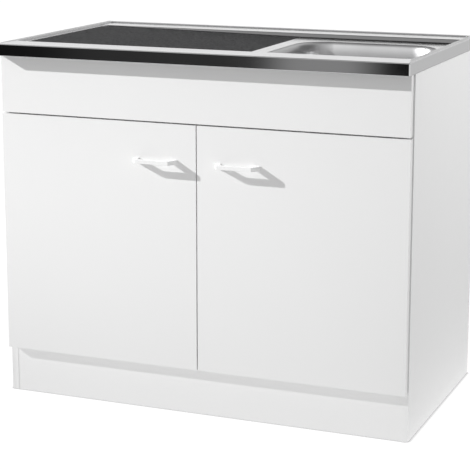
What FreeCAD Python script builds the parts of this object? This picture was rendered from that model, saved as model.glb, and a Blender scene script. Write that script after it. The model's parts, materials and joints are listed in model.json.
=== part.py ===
import FreeCAD, Part
import os
import math
import Sketcher
from FreeCAD import Vector, Placement, Rotation

# Kitchen sink unit: a two-door base cabinet with a lay-on pressed sink.
# Frame: origin on the floor under the middle of the sink, +X to the right seen
# from the front, +Y towards the wall, +Z up. Millimetres.

os.makedirs("parts", exist_ok=True)
doc = FreeCAD.newDocument("sink_unit")
sheet = doc.addObject("Spreadsheet::Sheet", "dims")


class Q:
    """A size: its number and the expression that gives it."""

    def __init__(self, n, t):
        self.n = float(n)
        self.t = t

    @staticmethod
    def of(o):
        return o if isinstance(o, Q) else Q(float(o), repr(float(o)) if float(o) >= 0 else "(%r)" % float(o))

    def __add__(self, o):
        o = Q.of(o)
        return Q(self.n + o.n, "(%s + %s)" % (self.t, o.t))

    def __radd__(self, o):
        return Q.of(o) + self

    def __sub__(self, o):
        o = Q.of(o)
        return Q(self.n - o.n, "(%s - %s)" % (self.t, o.t))

    def __rsub__(self, o):
        return Q.of(o) - self

    def __mul__(self, o):
        o = Q.of(o)
        return Q(self.n * o.n, "(%s * %s)" % (self.t, o.t))

    def __rmul__(self, o):
        return Q.of(o) * self

    def __truediv__(self, o):
        o = Q.of(o)
        return Q(self.n / o.n, "(%s / %s)" % (self.t, o.t))

    def __neg__(self):
        return Q(-self.n, "(-1 * %s)" % self.t)


cells = {}


def cell(name, value):
    row = len(cells) + 1
    sheet.set("A%d" % row, name)
    sheet.set("B%d" % row, str(value))
    sheet.setAlias("B%d" % row, name)
    cells[name] = value
    return Q(value, "dims." + name)


# overall
width = cell("width_all", 1000)
depth = cell("depth_all", 600)
height = cell("height_all", 850)
apron = cell("apron_height", 28)
board = cell("board_thick", 16)
# cabinet
side_front = cell("side_front_y", -253.5)
side_back = cell("side_back_y", 286.5)
front_face = cell("door_front_y", -272.5)
door_w = cell("door_width", 496)
door_half = cell("doors_half_width", 497.5)
door_lo = cell("door_bottom_z", 111)
door_hi = cell("door_top_z", 683.5)
fas_half = cell("fascia_half_width", 496.5)
fas_lo = cell("fascia_bottom_z", 687)
fas_hi = cell("fascia_top_z", 820.5)
plinth_top = cell("plinth_top_z", 109.5)
plinth_set = cell("plinth_setback", 1)
bottom_lo = cell("bottom_panel_z", 110)
rail_f_lo = cell("front_rail_bottom_z", 671)
rail_hi = cell("rail_top_z", 821.5)
rail_r = cell("rear_rail_height", 80)
# fittings
dowel_rad = cell("dowel_radius", 4)
dowel_bore = cell("dowel_bore_radius", 4.05)
cam_rad = cell("cam_radius", 7.4)
cam_bore = cell("cam_bore_radius", 7.5)
cam_in = cell("cam_inset", 24)
cam_len = cell("cam_height", 12.2)
bolt_deep = cell("bolt_depth", 11)
chan_rad = cell("bolt_channel_radius", 4)
# handles
grip_x = cell("handle_centre_x", 101)
grip_z = cell("handle_centre_z", 597)
grip_hole = cell("handle_half_spacing", 48)
grip_half = cell("handle_half_length", 55)
grip_tall = cell("handle_height", 10)
grip_out = cell("handle_projection", 26.5)
# sink sheet
skin = cell("sheet_thick", 1)
rim_front = cell("front_rim_width", 75)
rim_side = cell("side_rim_width", 17)
rim_rear = cell("rear_rim_width", 17)
ledge_z = cell("ledge_z", 847.5)
pan_z = cell("pan_floor_z", 839)
drain_end_z = cell("drainer_high_z", 847)
drain_edge_x = cell("drainer_right_x", 81)
wall_foot_y = cell("rear_wall_foot_y", 200)
wall_head_y = cell("rear_wall_head_y", 210.8)
bowl_x0 = cell("bowl_left_x", 120)
bowl_x1 = cell("bowl_right_x", 456)
bowl_y0 = cell("bowl_front_y", -212)
bowl_y1 = cell("bowl_rear_y", 120)
bowl_z = cell("bowl_floor_z", 689)
bowl_rad = cell("bowl_corner_radius", 72)
bowl_foot = cell("bowl_floor_radius", 30)
bowl_lip = cell("bowl_lip_radius", 5)
bowl_draft = cell("bowl_draft_angle", 2.5)
weld_z = cell("bowl_weld_z", 832)
drain_rad = cell("drain_hole_radius", 42.5)
drain_x = cell("drain_x", 288)
drain_y = cell("drain_y", -46)
over_z = cell("overflow_z", 772)
pipe_rad = cell("waste_pipe_radius", 20)
pipe_z = cell("waste_pipe_z", 520)
# hinges: positions in from the cabinet's outer side and back from the panel edge
piv_ax = cell("hinge_arm_pivot_x", 33.9)
piv_ay = cell("hinge_arm_pivot_y", 0.8)
piv_bx = cell("hinge_cup_pivot_x", 14.1)
piv_by = cell("hinge_cup_pivot_y", -7.0)
link_kx = cell("hinge_link_knee_x", 21.3)
link_ky = cell("hinge_link_knee_y", -8.0)
cup_in = cell("cup_centre_inset", 25)
cup_rad = cell("cup_radius", 17.4)
cup_bore = cell("cup_bore_radius", 17.6)
pin_rad = cell("hinge_pin_radius", 1.5)
eye_bore = cell("hinge_eye_bore", 1.56)
hinge_lo = cell("hinge_low_z", 211)
hinge_hi = cell("hinge_high_z", 583.5)

half = width / 2
floor_top = height - apron          # underside of the apron, top of the side panels
sheet.recompute()

nodes = []


def num(q):
    return q.n if isinstance(q, Q) else float(q)


def put(obj, path, q):
    """Set one size of an object; a sheet size is bound, a plain one is set."""
    if isinstance(q, Q):
        obj.setExpression(path, q.t)


def node(label, obj):
    obj.Label = label
    nodes.append((label, obj))
    return obj


# ---------------------------------------------------------------- primitives
def box(name, a, b):
    lo = [a[i] if num(a[i]) <= num(b[i]) else b[i] for i in range(3)]
    hi = [b[i] if num(a[i]) <= num(b[i]) else a[i] for i in range(3)]
    o = doc.addObject("Part::Box", name)
    for prop, i in (("Length", 0), ("Width", 1), ("Height", 2)):
        setattr(o, prop, num(hi[i]) - num(lo[i]))
        put(o, prop, Q.of(hi[i]) - Q.of(lo[i]))
    o.Placement = Placement(Vector(*[num(v) for v in lo]), Rotation())
    for c, v in zip("xyz", lo):
        put(o, "Placement.Base." + c, v)
    return o


TURN = {
    "+z": Rotation(),
    "-z": Rotation(Vector(1, 0, 0), 180),
    "+x": Rotation(Vector(0, 1, 0), 90),
    "-x": Rotation(Vector(0, 1, 0), -90),
    "+y": Rotation(Vector(1, 0, 0), -90),
    "-y": Rotation(Vector(1, 0, 0), 90),
}


def cyl(name, r, length, at, way):
    o = doc.addObject("Part::Cylinder", name)
    o.Radius = num(r)
    o.Height = num(length)
    put(o, "Radius", r)
    put(o, "Height", length)
    o.Placement = Placement(Vector(*[num(v) for v in at]), TURN[way])
    for c, v in zip("xyz", at):
        put(o, "Placement.Base." + c, v)
    return o


def cone(name, r1, r2, length, at, way):
    o = doc.addObject("Part::Cone", name)
    o.Radius1 = num(r1)
    o.Radius2 = num(r2)
    o.Height = num(length)
    put(o, "Radius1", r1)
    put(o, "Radius2", r2)
    put(o, "Height", length)
    o.Placement = Placement(Vector(*[num(v) for v in at]), TURN[way])
    for c, v in zip("xyz", at):
        put(o, "Placement.Base." + c, v)
    return o


def group(name, items):
    o = doc.addObject("Part::Compound", name)
    o.Links = items
    return o


def fuse(name, items):
    o = doc.addObject("Part::MultiFuse", name)
    o.Shapes = items
    return o


def cut(name, base, tools):
    o = doc.addObject("Part::Cut", name)
    o.Base = base
    o.Tool = tools[0] if len(tools) == 1 else group(name + "_tools", tools)
    return o


# ------------------------------------------------------------ sketched bodies
def body(name):
    return doc.addObject("PartDesign::Body", name)


def sketch(b, name, role, off=0):
    s = b.newObject("Sketcher::SketchObject", name)
    plane = [f for f in b.Origin.OriginFeatures if f.Role == role][0]
    s.AttachmentSupport = (plane, [""])
    s.MapMode = "FlatFace"
    s.AttachmentOffset = Placement(Vector(0, 0, num(off)), Rotation())
    if isinstance(off, Q):
        s.setExpression("AttachmentOffset.Base.z", off.t)
    return s


def fix(s, kind, geo, pt, value):
    i = s.addConstraint(Sketcher.Constraint(kind, -1, 1, geo, pt, num(value)))
    if isinstance(value, Q):
        s.setExpression("Constraints[%d]" % i, value.t)


def loop(s, pts):
    """Closed polygon, every corner placed by its two coordinates."""
    n = len(pts)
    g0 = s.GeometryCount
    for k in range(n):
        a, c = pts[k], pts[(k + 1) % n]
        s.addGeometry(Part.LineSegment(Vector(num(a[0]), num(a[1]), 0), Vector(num(c[0]), num(c[1]), 0)), False)
    for k in range(n):
        s.addConstraint(Sketcher.Constraint("Coincident", g0 + k, 2, g0 + (k + 1) % n, 1))
    for k in range(n):
        fix(s, "DistanceX", g0 + k, 1, pts[k][0])
        fix(s, "DistanceY", g0 + k, 1, pts[k][1])


def rect(s, x0, y0, x1, y1):
    loop(s, [(x0, y0), (x1, y0), (x1, y1), (x0, y1)])


def circle(s, x, y, r):
    g = s.addGeometry(Part.Circle(Vector(num(x), num(y), 0), Vector(0, 0, 1), num(r)), False)
    i = s.addConstraint(Sketcher.Constraint("Radius", g, num(r)))
    if isinstance(r, Q):
        s.setExpression("Constraints[%d]" % i, r.t)
    fix(s, "DistanceX", g, 3, x)
    fix(s, "DistanceY", g, 3, y)


def rounded(s, x0, y0, x1, y1, r):
    """Rectangle with four equal corner arcs."""
    X0, Y0, X1, Y1, R = [num(v) for v in (x0, y0, x1, y1, r)]
    lines = [((X0 + R, Y0), (X1 - R, Y0)), ((X1, Y0 + R), (X1, Y1 - R)),
             ((X1 - R, Y1), (X0 + R, Y1)), ((X0, Y1 - R), (X0, Y0 + R))]
    centres = [(X1 - R, Y0 + R), (X1 - R, Y1 - R), (X0 + R, Y1 - R), (X0 + R, Y0 + R)]
    starts = [-90, 0, 90, 180]
    g0 = s.GeometryCount
    for k in range(4):
        a, c = lines[k]
        s.addGeometry(Part.LineSegment(Vector(a[0], a[1], 0), Vector(c[0], c[1], 0)), False)
        m = centres[k]
        s.addGeometry(Part.ArcOfCircle(Part.Circle(Vector(m[0], m[1], 0), Vector(0, 0, 1), R),
                                       math.radians(starts[k]), math.radians(starts[k] + 90)), False)
    for k in range(4):
        ln, arc, nxt = g0 + 2 * k, g0 + 2 * k + 1, g0 + (2 * k + 2) % 8
        s.addConstraint(Sketcher.Constraint("Tangent", ln, 2, arc, 1))
        s.addConstraint(Sketcher.Constraint("Tangent", arc, 2, nxt, 1))
    s.addConstraint(Sketcher.Constraint("Horizontal", g0))
    s.addConstraint(Sketcher.Constraint("Vertical", g0 + 2))
    s.addConstraint(Sketcher.Constraint("Horizontal", g0 + 4))
    s.addConstraint(Sketcher.Constraint("Vertical", g0 + 6))
    for k in (3, 5, 7):
        s.addConstraint(Sketcher.Constraint("Equal", g0 + 1, g0 + k))
    i = s.addConstraint(Sketcher.Constraint("Radius", g0 + 1, R))
    if isinstance(r, Q):
        s.setExpression("Constraints[%d]" % i, r.t)
    fix(s, "DistanceY", g0, 1, y0)
    fix(s, "DistanceX", g0 + 2, 1, x1)
    fix(s, "DistanceY", g0 + 4, 1, y1)
    fix(s, "DistanceX", g0 + 6, 1, x0)


NATURAL = {"XY_Plane": 1, "XZ_Plane": -1, "YZ_Plane": 1}


def role_of(s):
    return s.AttachmentSupport[0][0].Role


def pad(b, name, s, length, way, taper=None):
    """way: +1 or -1 along the world axis the sketch's plane faces."""
    f = b.newObject("PartDesign::Pad", name)
    f.Profile = s
    f.Length = num(length)
    put(f, "Length", length)
    f.Reversed = way != NATURAL[role_of(s)]
    if taper is not None:
        f.TaperAngle = num(taper)
        put(f, "TaperAngle", taper)
    b.Tip = f
    return f


def pocket(b, name, s, length, way, taper=None):
    before = b.Tip.Shape.Volume if b.Tip and not b.Tip.Shape.isNull() else None
    f = b.newObject("PartDesign::Pocket", name)
    f.Profile = s
    f.Length = num(length)
    put(f, "Length", length)
    f.Reversed = way == NATURAL[role_of(s)]
    if taper is not None:
        f.TaperAngle = num(taper)
        put(f, "TaperAngle", taper)
    b.Tip = f
    doc.recompute()
    if before is not None and f.Shape.Volume >= before - 1e-6:
        raise RuntimeError("pocket %s of %s cuts nothing" % (name, b.Name))
    return f


def fillet(b, name, edges, r):
    base = b.Tip
    f = b.newObject("PartDesign::Fillet", name)
    f.Base = (base, edges)
    f.Radius = num(r)
    put(f, "Radius", r)
    b.Tip = f
    doc.recompute()
    if f.State and ("Invalid" in f.State or "Error" in f.State) or f.Shape.isNull() or not f.Shape.isValid():
        raise RuntimeError("fillet %s of %s fails" % (name, b.Name))
    return f


def edges_of(shape, test):
    out = []
    for i, e in enumerate(shape.Edges):
        bb = e.BoundBox
        if test(bb, e):
            out.append("Edge%d" % (i + 1))
    return out


def turned(name, pts, at=(0, 0, 0)):
    """Body of revolution about a vertical axis; pts are (radius, height)."""
    b = body(name)
    s = sketch(b, name + "_profile", "XZ_Plane")
    loop(s, pts)
    f = b.newObject("PartDesign::Revolution", name + "_turn")
    f.Profile = s
    f.ReferenceAxis = (s, ["V_Axis"])
    f.Angle = 360
    b.Tip = f
    b.Placement = Placement(Vector(*[num(v) for v in at]), Rotation())
    for c, v in zip("xyz", at):
        put(b, "Placement.Base." + c, v)
    return b


# ================================================================= carcase
# Every board end is joined to a side panel by cam bolts and dowels.
# (y, z) of each fitting on the side panels, and the way its cam faces.
mid = board / 2
bottom_mid = bottom_lo + mid
rail_y = side_front + mid
rear_y = side_back - mid
plinth_y = side_front + plinth_set + mid
rear_lo = rail_hi - rail_r
floor_z = bottom_lo + board
bolts = [
    (Q.of(-190), bottom_mid, "bottom"),
    (Q.of(220), bottom_mid, "bottom"),
    (rail_y, Q.of(760), "front"),
    (rear_y, rear_lo + 25, "rear_top"),
    (rear_y, floor_z + 25, "rear_low"),
    (plinth_y, Q.of(75), "plinth"),
]
pegs = [
    (Q.of(-130), bottom_mid, "bottom"),
    (Q.of(160), bottom_mid, "bottom"),
    (rail_y, Q.of(700), "front"),
    (rear_y, rear_lo + 57, "rear_top"),
    (rear_y, floor_z + 57, "rear_low"),
    (plinth_y, Q.of(35), "plinth"),
]
hinge_zs = (hinge_lo, hinge_hi)

cams, screws, dowel_list = [], [], []
bores = {"bottom": [], "front": [], "rear_top": [], "rear_low": [], "plinth": []}
side_bores = {-1: [], 1: []}

for s in (-1, 1):
    tag = "l" if s < 0 else "r"
    inner = (half - board) * s
    inward = "-x" if s > 0 else "+x"
    outward = "+x" if s > 0 else "-x"
    for k, (y, z, where) in enumerate(bolts):
        n = "%s%d" % (tag, k)
        side_bores[s].append(cyl("sb_" + n, 3.0, bolt_deep + 0.5, (inner, y, z), outward))
        bores[where].append(cyl("ch_" + n, chan_rad, cam_in, (inner, y, z), inward))
        cx = inner - s * cam_in
        # cam bore and cam: sunk from the hidden face of the board
        if where == "bottom":
            at, way = (cx, y, bottom_lo), "+z"
            cam_at = (cx, y, bottom_lo + 0.1)
        elif where == "front":
            at, way = (cx, side_front + board, z), "-y"
            cam_at = (cx, side_front + board - 0.1, z)
        elif where == "plinth":
            at, way = (cx, side_front + plinth_set + board, z), "-y"
            cam_at = (cx, side_front + plinth_set + board - 0.1, z)
        else:
            at, way = (cx, side_back - board, z), "+y"
            cam_at = (cx, side_back - board + 0.1, z)
        bores[where].append(cyl("cb_" + n, cam_bore, cam_len + 0.4, at, way))
        blank = cyl("cam_blank_" + n, cam_rad, cam_len, cam_at, way)
        mouth = cyl("cam_mouth_" + n, 3.9, cam_rad + 3.4, (cx + s * (cam_rad + 0.5), y, z), inward)
        if way == "+z":
            slot = box("cam_slot_" + n, (cx - 5, y - 0.8, bottom_lo - 1), (cx + 5, y + 0.8, bottom_lo + 1.6))
        elif way == "-y":
            slot = box("cam_slot_" + n, (cx - 5, cam_at[1] - 1.5, z - 0.8), (cx + 5, cam_at[1] + 1, z + 0.8))
        else:
            slot = box("cam_slot_" + n, (cx - 5, cam_at[1] - 1, z - 0.8), (cx + 5, cam_at[1] + 1.5, z + 0.8))
        cams.append(cut("cam_" + n, blank, [mouth, slot]))
        thread = cyl("bolt_thread_" + n, 2.95, bolt_deep, (inner + s * bolt_deep, y, z), inward)
        collar = cyl("bolt_collar_" + n, 3.6, 1.2, (inner, y, z), inward)
        shank = cyl("bolt_shank_" + n, 2.4, cam_in - 5, (inner, y, z), inward)
        neck = cyl("bolt_neck_" + n, 1.7, cam_in - 1, (inner, y, z), inward)
        head = cyl("bolt_head_" + n, 3.3, 2.6, (cx + s * 1.6, y, z), inward)
        screws.append(fuse("bolt_" + n, [thread, collar, shank, neck, head]))
    for k, (y, z, where) in enumerate(pegs):
        n = "%s%d" % (tag, k)
        side_bores[s].append(cyl("db_" + n, dowel_bore, 11.5, (inner, y, z), outward))
        bores[where].append(cyl("dc_" + n, dowel_bore, 19.5, (inner, y, z), inward))
        dowel_list.append(cyl("dowel_" + n, dowel_rad, 30, (inner + s * 11, y, z), inward))
    # screws of the hinge mounting plates and of the sink brackets
    for k, hz in enumerate(hinge_zs):
        for m, dz in enumerate((-16, 16)):
            side_bores[s].append(cyl("hb_%s%d%d" % (tag, k, m), 2.1, 11.5, (inner, side_front + 37, hz + dz), outward))
    for k, yy in enumerate((-190, 190)):
        side_bores[s].append(cyl("kb_%s%d" % (tag, k), 2.1, 12.5, (inner, Q.of(yy), floor_top - 18), outward))


def panel_side(name, s):
    b = body(name + "_blank")
    k = sketch(b, name + "_outline", "YZ_Plane", half * s if s > 0 else half * s)
    rect(k, side_front, Q.of(0), side_back, floor_top)
    pad(b, name + "_pad", k, board, -s)
    return node(name, cut(name, b, side_bores[s]))


panel_side("left_side_panel", -1)
panel_side("right_side_panel", 1)

gap_half = half - board


def slab(name, a, c, tools, label=None):
    """A board: sketched on the floor plane's height, padded up, then bored."""
    b = body(name + "_blank")
    k = sketch(b, name + "_outline", "XY_Plane", a[2])
    rect(k, a[0], a[1], c[0], c[1])
    pad(b, name + "_pad", k, Q.of(c[2]) - Q.of(a[2]), 1)
    if tools:
        return node(name, cut(name, b, tools))
    return node(name, b)


slab("bottom_panel", (-gap_half, side_front, bottom_lo), (gap_half, side_back, floor_z), bores["bottom"])
slab("plinth_board", (-gap_half, side_front + plinth_set, Q.of(0)),
     (gap_half, side_front + plinth_set + board, plinth_top), bores["plinth"])
spacer_xs = (-380, -130, 130, 380)
spacer_z = Q.of(754)
rail_tools = list(bores["front"])
fascia_tools = []
spacers, fscrews = [], []
for k, x in enumerate(spacer_xs):
    xx = Q.of(x)
    rail_tools.append(cyl("fr_hole_%d" % k, 2.4, board, (xx, side_front + board, spacer_z), "-y"))
    fascia_tools.append(cyl("fa_hole_%d" % k, 2.05, 10.5, (xx, front_face + board, spacer_z), "-y"))
    spacers.append(cut("spacer_%d" % k,
                       cyl("spacer_disc_%d" % k, 10, side_front - front_face - board, (xx, side_front, spacer_z), "-y"),
                       [cyl("spacer_hole_%d" % k, 2.4, 5, (xx, side_front + 1, spacer_z), "-y")]))
    fscrews.append(fuse("fscrew_%d" % k, [
        cyl("fscrew_head_%d" % k, 4.5, 2.6, (xx, side_front + board + 2.6, spacer_z), "-y"),
        cyl("fscrew_shank_%d" % k, 2.0, 26, (xx, side_front + board + 0.5, spacer_z), "-y"),
        cone("fscrew_tip_%d" % k, 2.0, 0.4, 3, (xx, side_front + board - 25.5, spacer_z), "-y")]))
slab("front_rail", (-gap_half, side_front, rail_f_lo), (gap_half, side_front + board, rail_hi), rail_tools)
slab("rear_top_rail", (-gap_half, side_back - board, rear_lo), (gap_half, side_back, rail_hi), bores["rear_top"])
slab("rear_bottom_rail", (-gap_half, side_back - board, floor_z), (gap_half, side_back, floor_z + rail_r), bores["rear_low"])
slab("fascia_panel", (-fas_half, front_face, fas_lo), (fas_half, front_face + board, fas_hi), fascia_tools)
node("fascia_spacers", group("fascia_spacers", spacers))
node("fascia_screws", group("fascia_screws", fscrews))
node("cam_discs", group("cam_discs", cams))
node("cam_bolts", group("cam_bolts", screws))
node("dowels", group("dowels", dowel_list))


# =================================================================== hinges
def hx(s, q):
    """Distance in from the cabinet's outer side, as a world x."""
    return (half - Q.of(q)) * s


def hy(q):
    return side_front + Q.of(q)


plates, plate_screws, arms, arm_screws = [], [], [], []
links = {-1: [], 1: []}
cups = {-1: [], 1: []}
cup_screws = {-1: [], 1: []}
door_tools = {-1: [], 1: []}
back = front_face + board           # the doors' inner face

for s in (-1, 1):
    tag = "l" if s < 0 else "r"
    inward = "-x" if s > 0 else "+x"
    outward = "+x" if s > 0 else "-x"
    for k, hz in enumerate(hinge_zs):
        n = "%s%d" % (tag, k)
        # mounting plate: base with a raised ridge
        base = box("plate_base_" + n, (hx(s, board), hy(21), hz - 26), (hx(s, board + 2.5), hy(53), hz + 26))
        ridge = box("plate_ridge_" + n, (hx(s, board + 2), hy(17), hz - 5.5), (hx(s, board + 10), hy(60), hz + 5.5))
        lump = fuse("plate_lump_" + n, [base, ridge])
        tools = [cyl("plate_hole_%s%d" % (n, m), 2.1, 8, (hx(s, board - 1), hy(37), hz + dz), inward)
                 for m, dz in enumerate((-16, 16))]
        tools.append(cyl("plate_tap_" + n, 2.1, 9, (hx(s, board + 2.5), hy(50), hz), inward))
        plates.append(cut("plate_" + n, lump, tools))
        for m, dz in enumerate((-16, 16)):
            plate_screws.append(fuse("ps_%s%d" % (n, m), [
                cyl("ps_head_%s%d" % (n, m), 4.0, 2.2, (hx(s, board + 2.5), hy(37), hz + dz), inward),
                cyl("ps_shank_%s%d" % (n, m), 2.0, 13.5, (hx(s, board + 2.6), hy(37), hz + dz), outward)]))
        # arm: lies on the ridge, its forked nose holds the link's pin
        b = body("arm_body_" + n)
        k1 = sketch(b, "arm_outline_" + n, "XY_Plane", hz - 6.5)
        loop(k1, [(hx(s, board + 10.1), hy(58)), (hx(s, board + 10.1), hy(18)),
                  (hx(s, piv_ax - 3.6), hy(piv_ay - 0.6)), (hx(s, piv_ax - 2.2), hy(piv_ay - 3.0)),
                  (hx(s, piv_ax + 0.6), hy(piv_ay - 3.5)), (hx(s, piv_ax + 2.9), hy(piv_ay - 2.0)),
                  (hx(s, piv_ax + 3.5), hy(piv_ay + 0.8)), (hx(s, board + 15.2), hy(22)),
                  (hx(s, board + 15.2), hy(58))])
        pad(b, "arm_pad_" + n, k1, 13, 1)
        doc.recompute()
        k2 = sketch(b, "arm_fork_" + n, "XY_Plane", hz + 3.3)
        circle(k2, hx(s, piv_ax), hy(piv_ay), 6.2)
        pocket(b, "arm_slot_" + n, k2, 6.6, -1)
        k3 = sketch(b, "arm_pin_" + n, "XY_Plane", hz - 5)
        circle(k3, hx(s, piv_ax), hy(piv_ay), pin_rad)
        pad(b, "arm_pin_pad_" + n, k3, 10, 1)
        doc.recompute()
        arms.append(cut("arm_" + n, b, [cyl("arm_hole_" + n, 2.1, 10, (hx(s, board + 9), hy(50), hz), inward)]))
        arm_screws.append(fuse("as_" + n, [
            cyl("as_head_" + n, 3.6, 2.2, (hx(s, board + 15.2), hy(50), hz), inward),
            cyl("as_shank_" + n, 2.0, 10.5, (hx(s, board + 15.3), hy(50), hz), outward)]))
        # link: a bent strap with an eye at each end
        b = body("link_body_" + n)
        k1 = sketch(b, "link_strap_" + n, "XY_Plane", hz - 2.9)
        ax, ay, bx, by, kx, ky = [num(v) for v in (piv_ax, piv_ay, piv_bx, piv_by, link_kx, link_ky)]
        d1 = math.hypot(kx - ax, ky - ay)
        n1 = ((ky - ay) / d1, -(kx - ax) / d1)
        d2 = math.hypot(bx - kx, by - ky)
        n2 = ((by - ky) / d2, -(bx - kx) / d2)
        nm = (n1[0] + n2[0], n1[1] + n2[1])
        nl = nm[0] * n1[0] + nm[1] * n1[1]
        nm = (nm[0] / nl, nm[1] / nl)
        r = 1.8
        loop(k1, [(hx(s, piv_ax + n1[0] * r), hy(piv_ay + n1[1] * r)),
                  (hx(s, link_kx + nm[0] * r), hy(link_ky + nm[1] * r)),
                  (hx(s, piv_bx + n2[0] * r), hy(piv_by + n2[1] * r)),
                  (hx(s, piv_bx - n2[0] * r), hy(piv_by - n2[1] * r)),
                  (hx(s, link_kx - nm[0] * r), hy(link_ky - nm[1] * r)),
                  (hx(s, piv_ax - n1[0] * r), hy(piv_ay - n1[1] * r))])
        pad(b, "link_pad_" + n, k1, 5.8, 1)
        for m, (px, py) in enumerate(((piv_ax, piv_ay), (piv_bx, piv_by))):
            k2 = sketch(b, "link_eye_%s%d" % (n, m), "XY_Plane", hz - 2.9)
            circle(k2, hx(s, px), hy(py), 3.0)
            pad(b, "link_eye_pad_%s%d" % (n, m), k2, 5.8, 1)
        doc.recompute()
        k3 = sketch(b, "link_bores_" + n, "XY_Plane", hz + 2.9)
        circle(k3, hx(s, piv_ax), hy(piv_ay), eye_bore)
        circle(k3, hx(s, piv_bx), hy(piv_by), eye_bore)
        pocket(b, "link_bore_cut_" + n, k3, 5.8, -1)
        links[s].append(b)
        # cup: pressed into the door, its ears hold the second pin
        cx = hx(s, cup_in)
        outer = cyl("cup_outer_" + n, cup_rad, 12, (cx, back, hz), "-y")
        flange = box("cup_flange_" + n, (hx(s, 20), back - 0.3, hz - 29), (hx(s, 44.5), back + 1.2, hz + 29))
        shell = fuse("cup_shell_" + n, [outer, flange])
        hollow = cyl("cup_hollow_" + n, cup_rad - 1, 16, (cx, back + 5, hz), "-y")
        holes = [cyl("cup_hole_%s%d" % (n, m), 1.9, 4, (hx(s, cup_in + 9.5), back + 2, hz + dz), "-y")
                 for m, dz in enumerate((-22.5, 22.5))]
        tub = cut("cup_tub_" + n, shell, [hollow] + holes)
        ears = []
        for m, (z0, z1) in enumerate(((-4.6, -3.3), (3.3, 4.6))):
            ears.append(box("cup_ear_%s%d" % (n, m), (hx(s, piv_bx - 2.6), hy(-14.6), hz + z0),
                            (hx(s, piv_bx + 2.6), hy(piv_by + 2.4), hz + z1)))
        pin = cyl("cup_pin_" + n, pin_rad, 8.4, (hx(s, piv_bx), hy(piv_by), hz - 4.2), "+z")
        cups[s].append(fuse("cup_" + n, [tub] + ears + [pin]))
        door_tools[s].append(cyl("cup_bore_" + n, cup_bore, 12.3, (cx, back, hz), "-y"))
        # the flange's edge is let into the door by its own thickness of 0.3
        door_tools[s].append(box("cup_seat_" + n, (hx(s, 19.8), back - 0.4, hz - 29.2), (hx(s, 44.7), back + 1, hz + 29.2)))
        for m, dz in enumerate((-22.5, 22.5)):
            cup_screws[s].append(fuse("cs_%s%d" % (n, m), [
                cyl("cs_head_%s%d" % (n, m), 3.3, 1.4, (hx(s, cup_in + 9.5), back + 1.2, hz + dz), "+y"),
                cyl("cs_shank_%s%d" % (n, m), 1.75, 12, (hx(s, cup_in + 9.5), back + 1.3, hz + dz), "-y")]))
            door_tools[s].append(cyl("cs_bore_%s%d" % (n, m), 1.85, 11.5, (hx(s, cup_in + 9.5), back, hz + dz), "-y"))

node("hinge_mounting_plates", group("hinge_mounting_plates", plates))
node("hinge_plate_screws", group("hinge_plate_screws", plate_screws))
node("hinge_arms", group("hinge_arms", arms))
node("hinge_arm_screws", group("hinge_arm_screws", arm_screws))

# ==================================================================== doors
for s, side in ((-1, "left"), (1, "right")):
    tag = "l" if s < 0 else "r"
    outer = door_half * s
    innr = (door_half - door_w) * s
    cxh = grip_x * s
    for m, dx in enumerate((-1, 1)):
        door_tools[s].append(cyl("grip_hole_%s%d" % (tag, m), 2.4, board, (cxh + grip_hole * dx, back, grip_z), "-y"))
    lo, hi = (outer, innr) if s < 0 else (innr, outer)
    slab(side + "_door", (lo, front_face, door_lo), (hi, back, door_hi), door_tools[s])

    # bow handle: two feet, slanting arms and a straight bar
    b = body(side + "_handle_blank")
    k = sketch(b, side + "_handle_outline", "XY_Plane", grip_z - grip_tall / 2)
    f = front_face

    def gx(v):
        return cxh + v

    g = grip_half
    o = grip_out
    loop(k, [(gx(-g), f), (gx(-(g - 1.5)), f - 4), (gx(-(g - 9.5)), f - (o - 3)), (gx(-(g - 13)), f - o),
             (gx(g - 13), f - o), (gx(g - 9.5), f - (o - 3)), (gx(g - 1.5), f - 4), (gx(g), f),
             (gx(g - 14), f), (gx(g - 19.5), f - (o - 8.6)), (gx(g - 23.5), f - (o - 6)),
             (gx(-(g - 23.5)), f - (o - 6)), (gx(-(g - 19.5)), f - (o - 8.6)), (gx(-(g - 14)), f)])
    pad(b, side + "_handle_pad", k, grip_tall, 1)
    doc.recompute()
    fy = num(front_face)
    names = edges_of(b.Tip.Shape, lambda bb, e: bb.ZLength > 1 and bb.YMax < fy - 1)
    fillet(b, side + "_handle_corners", names, 2)
    zm = num(grip_z)
    names = edges_of(b.Tip.Shape, lambda bb, e: bb.ZLength < 1e-3 and bb.YMin < fy - 0.01)
    fillet(b, side + "_handle_round", names, 1.2)
    k = sketch(b, side + "_handle_bores", "XZ_Plane", -f)
    for dx in (-1, 1):
        circle(k, cxh + grip_hole * dx, grip_z, 2.05)
    pocket(b, side + "_handle_bore_cut", k, 8.5, -1)
    node(side + "_handle", b)

    hs = []
    for m, dx in enumerate((-1, 1)):
        x = cxh + grip_hole * dx
        hs.append(fuse("hs_%s%d" % (tag, m), [
            cyl("hs_head_%s%d" % (tag, m), 4.0, 2.2, (x, back, grip_z), "+y"),
            cyl("hs_shank_%s%d" % (tag, m), 1.98, board + 8, (x, back + 0.1, grip_z), "-y")]))
    node(side + "_handle_screws", group(side + "_handle_screws", hs))

    bx = (door_half - door_w + 30) * s
    node(side + "_door_bumpers", group(side + "_door_bumpers", [
        cyl("bump_%s0" % tag, 5, 2.6, (bx, back, bottom_mid), "+y"),
        cyl("bump_%s1" % tag, 5, 2.6, (bx, back, rail_f_lo + 6.2), "+y")]))
    node(side + "_hinge_links", group(side + "_hinge_links", links[s]))
    node(side + "_hinge_cups", group(side + "_hinge_cups", cups[s]))
    node(side + "_hinge_cup_screws", group(side + "_hinge_cup_screws", cup_screws[s]))

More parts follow.
